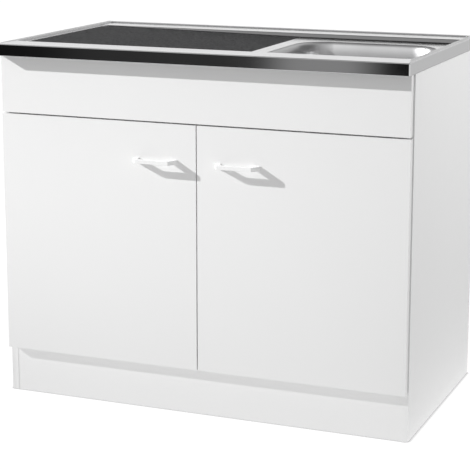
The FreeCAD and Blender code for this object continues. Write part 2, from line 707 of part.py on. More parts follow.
# ===================================================================== sink
# The sheet is an outer skin shape less the hollow that is seen from above.
half_d = depth / 2
b = body("sheet_outer")
k = sketch(b, "tray_outline", "XY_Plane", floor_top)
rounded(k, -half, -half_d, half, half_d, Q.of(4))
pad(b, "tray_pad", k, apron, 1)
doc.recompute()
ztop = num(height)
names = edges_of(b.Tip.Shape, lambda bb, e: abs(bb.ZMin - ztop) < 1e-3 and abs(bb.ZMax - ztop) < 1e-3)
fillet(b, "tray_edge", names, 2)
k = sketch(b, "tray_under", "XY_Plane", floor_top)
rounded(k, -half + skin, -half_d + skin, half - skin, half_d - skin, Q.of(3))
pocket(b, "tray_hollow", k, apron - skin, 1)
# folded-in foot of the apron
k = sketch(b, "foot_ring", "XY_Plane", floor_top)
rounded(k, -half + 0.4, -half_d + 0.4, half - 0.4, half_d - 0.4, Q.of(3.6))
rect(k, -half + 26, -half_d + 16, half - 26, half_d - 11)
pad(b, "foot_pad", k, skin, 1)
doc.recompute()
# underside of the pan, the ledge and the bowl
inr = half - rim_side
k = sketch(b, "pan_outer", "XZ_Plane", -(half_d - rim_rear + skin))
loop(k, [(-inr - skin, drain_end_z - skin), (drain_edge_x, pan_z - skin), (inr + skin, pan_z - skin),
         (inr + skin, height - 0.5), (-inr - skin, height - 0.5)])
pad(b, "pan_outer_pad", k, half_d - rim_rear + skin + half_d - rim_front + skin, -1)
doc.recompute()
k = sketch(b, "under_ledge", "YZ_Plane", -inr - skin - 0.5)
loop(k, [(wall_foot_y + 0.6, pan_z - skin - 0.5), (wall_foot_y + 0.6, pan_z - skin),
         (wall_head_y + 0.6, ledge_z - skin), (half_d - 10, ledge_z - skin), (half_d - 10, pan_z - skin - 0.5)])
pocket(b, "under_ledge_cut", k, (inr + skin + 0.5) * 2, 1)
k = sketch(b, "bowl_outer", "XY_Plane", pan_z - skin / 2)
rounded(k, bowl_x0 - skin, bowl_y0 - skin, bowl_x1 + skin, bowl_y1 + skin, bowl_rad + skin)
pad(b, "bowl_outer_pad", k, pan_z - skin / 2 - bowl_z + skin, -1, -bowl_draft)
doc.recompute()
zb = num(bowl_z) - num(skin)
names = edges_of(b.Tip.Shape, lambda bb, e: abs(bb.ZMin - zb) < 1e-3 and abs(bb.ZMax - zb) < 1e-3)
fillet(b, "bowl_outer_foot", names, bowl_foot + skin)
zp = num(pan_z) - num(skin)
x0, x1, y0, y1 = [num(v) for v in (bowl_x0, bowl_x1, bowl_y0, bowl_y1)]
names = edges_of(b.Tip.Shape, lambda bb, e: abs(bb.ZMin - zp) < 1e-3 and abs(bb.ZMax - zp) < 1e-3 and
                 bb.XMin > x0 - 4 and bb.XMax < x1 + 4 and bb.YMin > y0 - 4 and bb.YMax < y1 + 4)
fillet(b, "bowl_outer_lip", names, bowl_lip - skin)
outer_sheet = b

b = body("pan_tool")
k = sketch(b, "pan_prism", "XZ_Plane", -(half_d - rim_rear))
loop(k, [(-inr, drain_end_z), (drain_edge_x, pan_z), (inr, pan_z), (inr, height + 3), (-inr, height + 3)])
pad(b, "pan_prism_pad", k, half_d - rim_rear + half_d - rim_front, -1)
doc.recompute()
k = sketch(b, "ledge_profile", "YZ_Plane", -inr - 1)
loop(k, [(wall_foot_y, pan_z - 1), (wall_foot_y, pan_z), (wall_head_y, ledge_z), (half_d + 1, ledge_z), (half_d + 1, pan_z - 1)])
pocket(b, "ledge_cut", k, (inr + 1) * 2, 1)
zt = ztop + 3
names = edges_of(b.Tip.Shape, lambda bb, e: bb.ZMax > zt - 0.5 and bb.ZMin < ztop + 1)
fillet(b, "pan_corners", names, 12)
pan_tool = b

b = body("bowl_tool")
k = sketch(b, "bowl_mouth", "XY_Plane", pan_z)
rounded(k, bowl_x0, bowl_y0, bowl_x1, bowl_y1, bowl_rad)
pad(b, "bowl_pad", k, pan_z - bowl_z, -1, -bowl_draft)
doc.recompute()
zb = num(bowl_z)
names = edges_of(b.Tip.Shape, lambda bb, e: abs(bb.ZMin - zb) < 1e-3 and abs(bb.ZMax - zb) < 1e-3)
fillet(b, "bowl_foot_round", names, bowl_foot)
bowl_tool = b

hollow = fuse("sink_hollow", [pan_tool, bowl_tool])
doc.recompute()
zp = num(pan_z)
lip_edges = [i + 1 for i, e in enumerate(hollow.Shape.Edges)
             if abs(e.BoundBox.ZMin - zp) < 1e-3 and abs(e.BoundBox.ZMax - zp) < 1e-3 and
             e.BoundBox.XMin > x0 - 2 and e.BoundBox.XMax < x1 + 2 and e.BoundBox.YMin > y0 - 2 and e.BoundBox.YMax < y1 + 2]
lip = doc.addObject("Part::Fillet", "sink_hollow_lip")
lip.Base = hollow
lip.Edges = [(i, num(bowl_lip), num(bowl_lip)) for i in lip_edges]
doc.recompute()
use = lip if (not lip.Shape.isNull() and lip.Shape.isValid()) else hollow
print("lip edges", len(lip_edges), "ok" if use is lip else "plain")

drain_cut = cyl("drain_hole", drain_rad, 20, (drain_x, drain_y, bowl_z - 10), "+z")
over_cut = cyl("overflow_hole", 13, 30, (drain_x, bowl_y1 - 14, over_z), "+y")
brk_holes = []
for s in (-1, 1):
    for m, yy in enumerate((-190, 190)):
        brk_holes.append(cyl("rim_hole_%d%d" % (s + 1, m), 1.8, 3, ((half - 21) * s, Q.of(yy), floor_top - 1), "+z"))
whole_sheet = cut("sink_sheet", outer_sheet, [use, drain_cut, over_cut] + brk_holes)
# The bowl is drawn on its own and seam welded to the deck's turned-down mouth.
a_lo = (bowl_x0 - 10, bowl_y0 - 10, bowl_z - 30)
a_hi = (bowl_x1 + 10, bowl_y1 + 10, weld_z)
node("sink_top", cut("sink_top", whole_sheet, [box("below_weld", a_lo, a_hi)]))
bowl_part = doc.addObject("Part::Common", "sink_bowl")
bowl_part.Base = whole_sheet
bowl_part.Tool = box("weld_zone", a_lo, a_hi)
node("sink_bowl", bowl_part)

# brackets that hold the sink down, each with two screws
clips, clip_screws = [], []
for s in (-1, 1):
    tag = "l" if s < 0 else "r"
    inward = "-x" if s > 0 else "+x"
    outward = "+x" if s > 0 else "-x"
    for m, yy in enumerate((-190, 190)):
        y = Q.of(yy)
        n = "%s%d" % (tag, m)
        leg = box("clip_leg_" + n, (hx(s, board), y - 12, floor_top - 30), (hx(s, board + 2), y + 12, floor_top))
        toe = box("clip_toe_" + n, (hx(s, board), y - 12, floor_top - 2), (hx(s, board + 10), y + 12, floor_top))
        clips.append(cut("clip_" + n, fuse("clip_l_" + n, [leg, toe]), [
            cyl("clip_h1_" + n, 2.1, 4, (hx(s, board - 1), y, floor_top - 18), inward),
            cyl("clip_h2_" + n, 1.8, 4, (hx(s, 21), y, floor_top - 3), "+z")]))
        clip_screws.append(fuse("cls_" + n, [
            cyl("cls_head_" + n, 4.0, 2.2, (hx(s, board + 2), y, floor_top - 18), inward),
            cyl("cls_shank_" + n, 2.0, 14, (hx(s, board + 2.1), y, floor_top - 18), outward)]))
        clip_screws.append(fuse("clv_" + n, [
            cyl("clv_head_" + n, 3.0, 1.8, (hx(s, 21), y, floor_top - 3.8), "+z"),
            cyl("clv_shank_" + n, 1.7, 8, (hx(s, 21), y, floor_top - 3), "+z")]))
node("sink_brackets", group("sink_brackets", clips))
node("sink_bracket_screws", group("sink_bracket_screws", clip_screws))

# two battens glued under the drainer; their tops follow its fall
battens = []
slope = (drain_end_z - pan_z) / (inr + skin + drain_edge_x)
for m, (ya, yb) in enumerate(((-150, -95), (65, 120))):
    b = body("batten_%d" % m)
    k = sketch(b, "batten_side_%d" % m, "XZ_Plane", Q.of(-yb))
    xa, xb = Q.of(-455), Q.of(55)
    loop(k, [(xa, Q.of(827)), (xb, Q.of(827)), (xb, pan_z - skin - 0.1 + slope * (drain_edge_x - xb)),
             (xa, pan_z - skin - 0.1 + slope * (drain_edge_x - xa))])
    pad(b, "batten_pad_%d" % m, k, Q.of(yb - ya), -1)
    battens.append(b)
node("drainer_battens", group("drainer_battens", battens))

# sound pad under the bowl
padb = box("pad_sheet", (drain_x - 118, drain_y - 112, bowl_z - skin - 3), (drain_x + 118, drain_y + 112, bowl_z - skin))
node("bowl_sound_pad", cut("bowl_sound_pad", padb, [
    cyl("pad_hole", 62, 10, (drain_x, drain_y, bowl_z - 8), "+z")]))

# ==================================================================== waste
zf = bowl_z                          # bowl floor, upper face
zu = bowl_z - skin                   # its underside
at = (drain_x, drain_y, 0)
node("drain_upper_gasket", turned("drain_upper_gasket", [(43.4, zf), (54, zf), (54, zf + 1), (43.4, zf + 1)], at))
flange = turned("flange_cup", [
    (0, zf - 34), (41.2, zf - 34), (41.2, zf + 1), (56, zf + 1), (55, zf + 2.4), (41, zf + 2.6),
    (40, zf + 1.4), (40, zf - 32.6), (0, zf - 32.6)], at)
ring = []
for i in range(8):
    a = math.radians(45 * i)
    ring.append(cyl("flange_port_%d" % i, 5.5, 6, (drain_x + 21 * math.cos(a), drain_y + 21 * math.sin(a), zf - 36), "+z"))
ring.append(cyl("flange_centre", 3.1, 6, (drain_x, drain_y, zf - 36), "+z"))
node("drain_flange", cut("drain_flange", flange, ring))
node("drain_lower_gasket", turned("drain_lower_gasket", [(44, zu - 2), (56, zu - 2), (56, zu), (44, zu)], at))
cup = turned("drain_cup", [
    (43.6, zu - 2), (57, zu - 2), (57, zu - 6), (47, zu - 8), (47, zu - 36), (44, zu - 44), (20, zu - 48), (20, 603),
    (17, 603), (17, zu - 44.5), (41, zu - 41), (43.6, zu - 34)], at)
bar = box("drain_bar", (drain_x - 18.5, drain_y - 4, zu - 52), (drain_x + 18.5, drain_y + 4, zu - 43))
stub = cyl("drain_stub", 9.8, 28, (drain_x, drain_y + 44.5, zu - 21), "+y")
node("drain_body", cut("drain_body", fuse("drain_body_lump", [cup, bar, stub]), [
    cyl("drain_bar_hole", 3.1, 20, (drain_x, drain_y, zu - 56), "+z"),
    cyl("drain_stub_hole", 7.6, 36, (drain_x, drain_y + 40, zu - 21), "+y")]))
node("drain_centre_screw", turned("drain_centre_screw", [
    (0, zu - 50), (2.95, zu - 50), (2.95, zf - 32.6), (5.5, zf - 32.6), (5.5, zf - 30.4), (4.5, zf - 29.6), (0, zf - 29.6)], at))

# lift-out basket on its rubber ring
node("basket_seal", turned("basket_seal", [(29, zf - 32.5), (37, zf - 32.5), (37, zf - 28.2), (29, zf - 28.2)], at))
bask = turned("basket_cup", [
    (0, zf - 28.2), (37.4, zf - 28.2), (38.8, zf - 1), (38.8, zf + 0.2), (37.4, zf + 0.2), (36.4, zf - 27),
    (3, zf - 27), (3, zf - 8), (8, zf - 6.5), (9, zf - 4), (8, zf - 1.5), (0, zf - 1)], at)
holes = []
for ri, (rad, cnt) in enumerate(((13, 8), (22, 12), (31, 18))):
    for i in range(cnt):
        a = 2 * math.pi * (i + 0.5 * (ri % 2)) / cnt
        holes.append(cyl("basket_hole_%d_%d" % (ri, i), 2.2, 4,
                         (drain_x + rad * math.cos(a), drain_y + rad * math.sin(a), zf - 30), "+z"))
node("strainer_basket", cut("strainer_basket", bask, holes))

# overflow
yo = bowl_y1
ov_in = cut("overflow_grille", cyl("ov_disc", 20, 2, (drain_x, yo - 4.3, over_z), "-y"),
            [box("ov_slot_%d" % i, (drain_x + dx - 1.5, yo - 8, over_z - 9), (drain_x + dx + 1.5, yo - 2, over_z + 9))
             for i, dx in enumerate((-12, -6, 6, 12))] +
            [cyl("ov_disc_hole", 2.05, 10, (drain_x, yo - 10, over_z), "+y")])
node("overflow_grille", ov_in)
elbow_body = fuse("overflow_elbow_lump", [
    cyl("ov_flange", 24, 4, (drain_x, yo + 2.4, over_z), "+y"),
    cyl("ov_box", 16, 22, (drain_x, yo + 5, over_z), "+y"),
    cyl("ov_spigot", 9.8, 30, (drain_x, yo + 27, over_z - 34), "+z"),
])
node("overflow_elbow", cut("overflow_elbow", elbow_body, [
    cyl("ov_bore", 12.5, 20, (drain_x, yo + 2, over_z), "+y"),
    cyl("ov_bore_down", 7.2, 36, (drain_x, yo + 27, over_z - 35), "+z")]))
node("overflow_screw", fuse("overflow_screw", [
    cyl("ov_screw_head", 3.2, 1.6, (drain_x, yo - 6.3, over_z), "-y"),
    cyl("ov_screw_shank", 1.9, 12, (drain_x, yo - 6.4, over_z), "+y")]))
b = body("overflow_pipe")
overflow_top = over_z - 17
overflow_y = yo + 27
overflow_z = zu - 21
r_bend = 34
path = sketch(b, "overflow_run", "YZ_Plane", drain_x)
P0 = (num(overflow_y), num(overflow_top))
P1 = (num(overflow_y), num(overflow_z) + r_bend)
P2 = (num(overflow_y) - r_bend, num(overflow_z))
P3 = (num(drain_y) + 60, num(overflow_z))
path.addGeometry(Part.LineSegment(Vector(P0[0], P0[1], 0), Vector(P1[0], P1[1], 0)), False)
path.addGeometry(Part.ArcOfCircle(Part.Circle(Vector(P2[0], P1[1], 0), Vector(0, 0, 1), r_bend),
                                  math.radians(-90), 0), False)
path.addGeometry(Part.LineSegment(Vector(P2[0], P2[1], 0), Vector(P3[0], P3[1], 0)), False)
path.addConstraint(Sketcher.Constraint("Tangent", 0, 2, 1, 2))
path.addConstraint(Sketcher.Constraint("Tangent", 1, 1, 2, 1))
path.addConstraint(Sketcher.Constraint("Vertical", 0))
path.addConstraint(Sketcher.Constraint("Horizontal", 2))
fix(path, "DistanceX", 0, 1, overflow_y)
fix(path, "DistanceY", 0, 1, overflow_top)
fix(path, "DistanceY", 2, 2, overflow_z)
fix(path, "DistanceX", 2, 2, drain_y + 60)
path.addConstraint(Sketcher.Constraint("Radius", 1, float(r_bend)))
ringp = sketch(b, "overflow_ring", "XY_Plane", overflow_top)
circle(ringp, drain_x, overflow_y, 12.2)
circle(ringp, drain_x, overflow_y, 10)
pipe = b.newObject("PartDesign::AdditivePipe", "overflow_sweep")
pipe.Profile = ringp
pipe.Spine = (path, ["Edge1", "Edge2", "Edge3"])
b.Tip = pipe
node("overflow_pipe", b)

# bottle trap
zt0 = 540
node("trap_inlet_nut", turned("trap_inlet_nut", [
    (18.4, 588), (24, 588), (26.5, 592), (26.5, 612), (20.3, 612), (20.3, 594), (18.4, 594)], at))
node("trap_washer", turned("trap_washer", [(17, 600.2), (20, 600.2), (20, 603), (17, 603)], at))
node("trap_inlet_tube", turned("trap_inlet_tube", [
    (16.2, 452), (18, 452), (18, 597), (20, 597), (20, 600.2), (16.2, 600.2)], at))
tb = turned("trap_shell", [
    (32, 432), (32, 548), (26, 554), (20.5, 556), (18.3, 556), (18.3, 553), (24.8, 551), (29.4, 546), (29.4, 432)], at)
spout = cyl("trap_spout", 23, 26, (drain_x, drain_y + 28, pipe_z), "+y")
node("trap_body", cut("trap_body", fuse("trap_body_lump", [tb, spout]), [
    cyl("trap_spout_bore", 17.6, 40, (drain_x, drain_y + 20, pipe_z), "+y"),
    cyl("trap_spout_seat", 19.1, 14, (drain_x, drain_y + 41, pipe_z), "+y")]))
node("trap_bottom_cup", turned("trap_bottom_cup", [
    (0, 410), (26, 410), (32, 416), (35, 420), (35, 446), (32.3, 446), (32.3, 431.5), (29, 431.5), (29, 424), (24, 418), (0, 416)], at))
ow = cut("trap_outlet_nut", cyl("ton_a", 27, 20, (drain_x, drain_y + 47, pipe_z), "+y"), [
    cyl("ton_b", 23.3, 9, (drain_x, drain_y + 46, pipe_z), "+y"),
    cyl("ton_c", 19.1, 30, (drain_x, drain_y + 46, pipe_z), "+y")])
node("trap_outlet_nut", ow)
# the pipe's end inside the nut is turned down to a spigot, its shoulder stands at the nut
wp_step = drain_y + 67.4
node("waste_pipe", cut("waste_pipe", fuse("waste_pipe_lump", [
    cyl("wp_spigot", pipe_rad - 1.1, 26, (drain_x, drain_y + 42, pipe_z), "+y"),
    cyl("wp_out", pipe_rad, half_d - 1 - wp_step, (drain_x, wp_step, pipe_z), "+y")]),
    [cyl("wp_in", pipe_rad - 2.4, 310, (drain_x, drain_y + 41, pipe_z), "+y")]))

# ------------------------------------------------------------------- write
doc.recompute()
bad = []
for o in doc.Objects:
    if "Invalid" in o.State or "Error" in o.State:
        bad.append("%s %s" % (o.Name, o.State))
for label, o in nodes:
    sh = o.Shape
    if sh.isNull() or not sh.isValid() or not sh.Solids:
        bad.append("%s shape" % label)
if bad:
    raise SystemExit("failed objects: " + "; ".join(bad))
labels = [n for n, o in nodes]
if len(set(labels)) != len(labels):
    raise SystemExit("labels repeat")
for label, o in nodes:
    sh = o.Shape
    sh.exportStep(os.path.join("parts", label + ".step"))
    bb = sh.BoundBox
    print("%-26s solids %2d vol %10.0f  x %.1f..%.1f y %.1f..%.1f z %.1f..%.1f" % (
        label, len(sh.Solids), sh.Volume, bb.XMin, bb.XMax, bb.YMin, bb.YMax, bb.ZMin, bb.ZMax))
print("nodes", len(nodes))
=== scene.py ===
import json
import math

import bpy
import bmesh
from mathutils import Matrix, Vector
from mathutils.geometry import delaunay_2d_cdt


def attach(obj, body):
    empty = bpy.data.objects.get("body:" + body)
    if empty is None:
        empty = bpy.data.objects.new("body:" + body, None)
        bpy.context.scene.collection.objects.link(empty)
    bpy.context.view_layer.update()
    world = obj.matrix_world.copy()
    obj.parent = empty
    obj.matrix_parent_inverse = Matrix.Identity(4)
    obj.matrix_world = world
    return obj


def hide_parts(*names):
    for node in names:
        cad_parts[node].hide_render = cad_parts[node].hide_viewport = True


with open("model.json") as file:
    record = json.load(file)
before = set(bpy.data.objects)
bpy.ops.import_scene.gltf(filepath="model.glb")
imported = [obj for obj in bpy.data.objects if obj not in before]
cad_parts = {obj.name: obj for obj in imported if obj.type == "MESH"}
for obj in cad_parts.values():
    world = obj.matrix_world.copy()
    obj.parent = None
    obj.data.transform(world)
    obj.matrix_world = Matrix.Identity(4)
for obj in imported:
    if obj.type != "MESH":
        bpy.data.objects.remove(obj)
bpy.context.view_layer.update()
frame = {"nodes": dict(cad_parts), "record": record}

nodes = frame["nodes"]
scene = bpy.context.scene
MM = 0.001


# ------------------------------------------------------------------ camera
cam_data = bpy.data.cameras.new("cam")
cam = bpy.data.objects.new("cam", cam_data)
scene.collection.objects.link(cam)
cam.location = (1.4150, -3.5199, 1.2599)
cam.rotation_euler = (math.radians(90 - 11.47), 0, math.radians(22.135))
cam_data.sensor_width = 36
cam_data.lens = 1600.7 * 36 / 470
cam_data.shift_x = 0.0
cam_data.shift_y = -0.10
cam_data.clip_start = 0.05
cam_data.clip_end = 60
scene.camera = cam


# --------------------------------------------------------------- materials
class Mat:
    """A principled material with a few node helpers. Coordinates are the object's own, in metres."""

    def __init__(self, name, base, metallic=0.0, rough=0.5, **more):
        self.m = bpy.data.materials.new(name)
        self.m.use_nodes = True
        self.t = self.m.node_tree
        self.n = self.t.nodes
        self.l = self.t.links
        self.b = self.n["Principled BSDF"]
        self.b.inputs["Base Color"].default_value = (*base, 1)
        self.b.inputs["Metallic"].default_value = metallic
        self.b.inputs["Roughness"].default_value = rough
        for k, v in more.items():
            self.b.inputs[k.replace("_", " ")].default_value = v
        self.base = base
        self.co = self.n.new("ShaderNodeTexCoord").outputs["Object"]

    def scaled(self, s, rot=(0, 0, 0)):
        mp = self.n.new("ShaderNodeMapping")
        mp.inputs["Scale"].default_value = s
        mp.inputs["Rotation"].default_value = rot
        self.l.new(self.co, mp.inputs["Vector"])
        return mp.outputs["Vector"]

    def noise(self, scale, detail=2.0, rough=0.5, stretch=(1, 1, 1), distortion=0.0, lo=None, hi=None):
        t = self.n.new("ShaderNodeTexNoise")
        t.inputs["Scale"].default_value = scale
        t.inputs["Detail"].default_value = detail
        t.inputs["Roughness"].default_value = rough
        t.inputs["Distortion"].default_value = distortion
        self.l.new(self.scaled(stretch), t.inputs["Vector"])
        return t.outputs["Fac"]

    def math(self, op, a, b=None, c=None, clamp=False):
        m = self.n.new("ShaderNodeMath")
        m.operation = op
        m.use_clamp = clamp
        for i, v in enumerate((a, b, c)):
            if v is None:
                continue
            if isinstance(v, (int, float)):
                m.inputs[i].default_value = v
            else:
                self.l.new(v, m.inputs[i])
        return m.outputs[0]

    def range(self, v, a, b, c, d, smooth=True):
        m = self.n.new("ShaderNodeMapRange")
        m.interpolation_type = "SMOOTHSTEP" if smooth else "LINEAR"
        m.inputs["From Min"].default_value = a
        m.inputs["From Max"].default_value = b
        m.inputs["To Min"].default_value = c
        m.inputs["To Max"].default_value = d
        self.l.new(v, m.inputs["Value"])
        return m.outputs["Result"]

    def mix(self, f, a, b):
        m = self.n.new("ShaderNodeMix")
        m.data_type = "RGBA"
        for key, v in (("Factor", f), ("A", a), ("B", b)):
            sock = [s for s in m.inputs if s.name == key and (s.type == ("VALUE" if key == "Factor" else "RGBA"))][0]
            if isinstance(v, (int, float)):
                sock.default_value = v
            elif isinstance(v, tuple):
                sock.default_value = (*v, 1) if len(v) == 3 else v
            else:
                self.l.new(v, sock)
        return [s for s in m.outputs if s.type == "RGBA"][0]

    def xyz(self):
        s = self.n.new("ShaderNodeSeparateXYZ")
        self.l.new(self.co, s.inputs[0])
        return s.outputs

    def colour(self, sock):
        self.l.new(sock, self.b.inputs["Base Color"])

    def roughness(self, sock):
        self.l.new(sock, self.b.inputs["Roughness"])

    def bump(self, height, distance, strength=1.0):
        b = self.n.new("ShaderNodeBump")
        b.inputs["Distance"].default_value = distance
        b.inputs["Strength"].default_value = strength
        self.l.new(height, b.inputs["Height"])
        self.l.new(b.outputs["Normal"], self.b.inputs["Normal"])
        return b


def tone(c, k):
    return tuple(min(1.0, v * k) for v in c)


def white_board():
    m = Mat("white_melamine", (0.86, 0.86, 0.86), 0.0, 0.42)
    m.b.inputs["Specular IOR Level"].default_value = 0.35
    cloud = m.noise(3.1, 3, 0.5)
    fine = m.noise(900, 2, 0.6)
    m.colour(m.mix(cloud, (0.85, 0.85, 0.85), (0.87, 0.87, 0.868)))
    m.roughness(m.range(m.noise(38, 3, 0.6), 0.3, 0.7, 0.38, 0.48))
    m.bump(fine, 0.00006, 0.5)
    return m.m


def raw_board():
    """The hidden faces of the rear rails: the same film."""
    return white_board()


def white_plastic():
    m = Mat("white_handle_plastic", (0.93, 0.93, 0.93), 0.0, 0.22)
    m.colour(m.mix(m.noise(30, 2), (0.92, 0.92, 0.92), (0.94, 0.94, 0.94)))
    m.roughness(m.range(m.noise(160, 3, 0.6), 0.3, 0.7, 0.18, 0.30))
    m.bump(m.noise(700, 2, 0.6), 0.00003, 0.5)
    return m.m


def plastic(name, base, rough):
    m = Mat(name, base, 0.0, rough)
    m.colour(m.mix(m.noise(24, 3, 0.6), tone(base, 0.95), tone(base, 1.04)))
    m.roughness(m.range(m.noise(220, 3, 0.6), 0.3, 0.7, rough - 0.06, rough + 0.08))
    m.bump(m.noise(1200, 2, 0.6), 0.00004, 0.6)
    return m.m


def metal(name, base, rough, stretch=(1, 1, 1), scale=400.0, bump=0.00001):
    m = Mat(name, base, 1.0, rough)
    m.colour(m.mix(m.noise(18, 3, 0.6), tone(base, 0.92), tone(base, 1.06)))
    m.roughness(m.range(m.noise(scale, 3, 0.6, stretch), 0.3, 0.7, max(0.04, rough - 0.06), rough + 0.08))
    m.bump(m.noise(scale * 2, 2, 0.6, stretch), bump, 0.7)
    return m.m


def rubber(name, base, rough=0.7):
    m = Mat(name, base, 0.0, rough)
    m.colour(m.mix(m.noise(60, 3, 0.6), tone(base, 0.8), tone(base, 1.25)))
    m.roughness(m.range(m.noise(300, 3, 0.6), 0.3, 0.7, rough - 0.08, rough + 0.08))
    m.bump(m.noise(900, 3, 0.6), 0.00008, 0.7)
    return m.m


def beech():
    m = Mat("beech_wood", (0.70, 0.52, 0.33), 0.0, 0.55)
    grain = m.noise(55, 5, 0.65, (0.06, 1, 1), 0.6)
    m.colour(m.mix(grain, (0.58, 0.40, 0.23), (0.78, 0.60, 0.40)))
    m.roughness(m.range(grain, 0.3, 0.7, 0.5, 0.65))
    m.bump(grain, 0.0002, 0.5)
    return m.m


def bumper_clear():
    m = Mat("clear_bumper", (0.85, 0.86, 0.86), 0.0, 0.25)
    m.b.inputs["Transmission Weight"].default_value = 0.35
    m.b.inputs["IOR"].default_value = 1.45
    m.colour(m.mix(m.noise(200, 2), (0.82, 0.83, 0.83), (0.88, 0.88, 0.88)))
    m.roughness(m.range(m.noise(400, 2), 0.3, 0.7, 0.2, 0.32))
    m.bump(m.noise(900, 2), 0.00003, 0.5)
    return m.m


def brushed(name, base, lo, hi, stretch, depth):
    """Brushed stainless sheet; stretch lays the brush lines, lo and hi bound the roughness."""
    m = Mat(name, base, 1.0, (lo + hi) / 2)
    brush = m.noise(1.0, 3, 0.6, stretch)
    marks = m.noise(7, 4, 0.6)
    m.colour(m.mix(marks, tone(base, 0.96), tone(base, 1.04)))
    m.roughness(m.math("ADD", m.range(marks, 0.25, 0.75, lo, hi), m.math("MULTIPLY", brush, 0.04)))
    m.bump(brush, depth, 1.0)
    return m.m


def steel_deck():
    """Rim front and rear, plateau and ledge, brushed along the sink."""
    return brushed("silk_stainless", (0.62, 0.62, 0.625), 0.11, 0.15, (12, 900, 900), 0.0000015)


def steel_side_rim():
    """The two side strips of the rim, brushed across; their base colour is a shade darker than the deck's, painted
    shade for their duller reflection.
    """
    return brushed("silk_stainless_side", (0.60, 0.60, 0.605), 0.24, 0.30, (900, 12, 900), 0.000002)


def steel_apron():
    """The turned-down edge, brushed along its length and a little brighter polished."""
    return brushed("apron_stainless", (0.62, 0.62, 0.625), 0.02, 0.05, (10, 10, 900), 0.000001)


def steel_linen():
    """Linen-embossed field of the drainer: short crossed threads. Its dark base colour and specular tint are painted
    shade for the embossing's self-shadowing and dark reflections; the weave's light and dark flecks in the colour are
    painted shade and highlight of the threads.
    """
    # painted shade: the stainless gets a dark base colour and tint in place of the embossing's self-shadowing
    base = (0.25, 0.25, 0.255)
    m = Mat("linen_stainless", base, 1.0, 0.42)
    m.b.inputs["Specular Tint"].default_value = (0.15, 0.15, 0.153, 1)
    x, y, z = m.xyz()
    warp = m.noise(1.0, 1.0, 0.5, (420, 110, 1))
    weft = m.noise(1.0, 1.0, 0.5, (110, 420, 1))
    wv = m.math("SINE", m.math("MULTIPLY", x, 2 * math.pi / 0.0042))
    wh = m.math("SINE", m.math("MULTIPLY", y, 2 * math.pi / 0.0042))
    threads = m.math("ADD", m.math("MULTIPLY", wv, m.range(warp, 0.35, 0.65, 0.2, 1.0)),
                     m.math("MULTIPLY", wh, m.range(weft, 0.35, 0.65, 0.2, 1.0)))
    across = m.noise(1.0, 1.0, 0.5, (300, 84, 1))
    along = m.noise(1.0, 1.0, 0.5, (84, 300, 1))
    weave_and_shade = m.math("ADD", m.math("MULTIPLY", across, 0.5), m.math("MULTIPLY", along, 0.5))
    # painted shade and highlight of the threads: the weave darkens and lightens the colour; it also varies the
    # roughness
    m.colour(m.mix(m.range(weave_and_shade, 0.41, 0.59, 0, 1), tone(base, 0.60), tone(base, 1.40)))
    m.roughness(m.range(weave_and_shade, 0.38, 0.62, 0.34, 0.48))
    m.bump(threads, 0.00016, 1.0)
    return m.m


def steel_bowl():
    """Matt silk finish of the drawn bowl."""
    base = (0.62, 0.62, 0.625)
    m = Mat("bowl_stainless", base, 1.0, 0.42)
    marks = m.noise(11, 4, 0.6)
    swirl = m.noise(1.0, 3, 0.6, (260, 260, 30))
    m.colour(m.mix(marks, tone(base, 0.97), tone(base, 1.03)))
    m.roughness(m.range(marks, 0.25, 0.75, 0.39, 0.45))
    m.bump(swirl, 0.000004, 1.0)
    return m.m


MATS = {
    "white_board": white_board(),
    "white_plastic": white_plastic(),
    "steel_sheet": steel_deck(),
    "stainless_part": metal("polished_stainless", (0.66, 0.66, 0.665), 0.18, (1, 1, 1), 300),
    "zinc": metal("nickel_plate", (0.62, 0.62, 0.61), 0.26, (1, 1, 1), 500),
    "beech": beech(),
    "rubber_black": rubber("black_rubber", (0.035, 0.035, 0.035)),
    "pad_grey": rubber("bitumen_pad", (0.10, 0.10, 0.105), 0.8),
    "bumper_clear": bumper_clear(),
    "trap_white": plastic("white_polypropylene", (0.82, 0.82, 0.81), 0.40),
    "hose_grey": plastic("grey_pipe_plastic", (0.42, 0.42, 0.42), 0.45),
}

slot_of = {s["node"]: s["material_slot"] for s in frame["record"]["subparts"]}
for name, ob in nodes.items():
    ob.data.materials.clear()
    ob.data.materials.append(MATS[slot_of[name]])

BOARDS = ["left_side_panel", "right_side_panel", "bottom_panel", "plinth_board", "front_rail", "rear_top_rail",
          "rear_bottom_rail", "fascia_panel", "left_door", "right_door"]
for name in BOARDS:
    mod = nodes[name].modifiers.new("edge", "BEVEL")
    mod.width = 0.0005
    mod.segments = 2
    mod.limit_method = "ANGLE"
    mod.angle_limit = math.radians(60)
    mod.use_clamp_overlap = True
    mod.harden_normals = False


# ---------------------------------------------------------- sink sheet mesh
# Sizes repeat the CAD's, in millimetres.
TOP, FOOT = 850.0, 822.0
HX, HY = 500.0, 300.0
PAN = (-483.0, -225.0, 483.0, 283.0)
WALL_FOOT, WALL_HEAD = 200.0, 210.8
PAN_R = 12.0
MOUTH = (120.0, -212.0, 456.0, 120.0)
MOUTH_R = 72.0
LIP, DRAFT, BOWL_FOOT, BOWL_Z = 7.0, math.radians(2.5), 30.0, 689.0
DRAIN = (288.0, -46.0, 42.5)
SHEET = 1.0


def smax(a, b, k):
    h = max(k - abs(a - b), 0.0)
    return max(a, b) + h * h / (4 * k)


def smin(a, b, k):
    return -smax(-a, -b, k)


def floor_z(x, y):
    """Height of the pan's floor: the drainer's fall, the plateau, the rear slope and the ledge."""
    fall = 839.0 + (81.0 - x) * 8.0 / 565.0
    base = smax(fall, 839.0, 0.10)
    rear = 839.0 + (y - WALL_FOOT) * 8.5 / 10.8
    rear = smin(rear, 847.5, 1.1)
    return smax(base, rear, 1.1)


def grad(f, x, y, e=0.01):
    return ((f(x + e, y) - f(x - e, y)) / (2 * e), (f(x, y + e) - f(x, y - e)) / (2 * e))


def floor_n(x, y):
    gx, gy = grad(floor_z, x, y)
    return Vector((-gx, -gy, 1.0)).normalized()


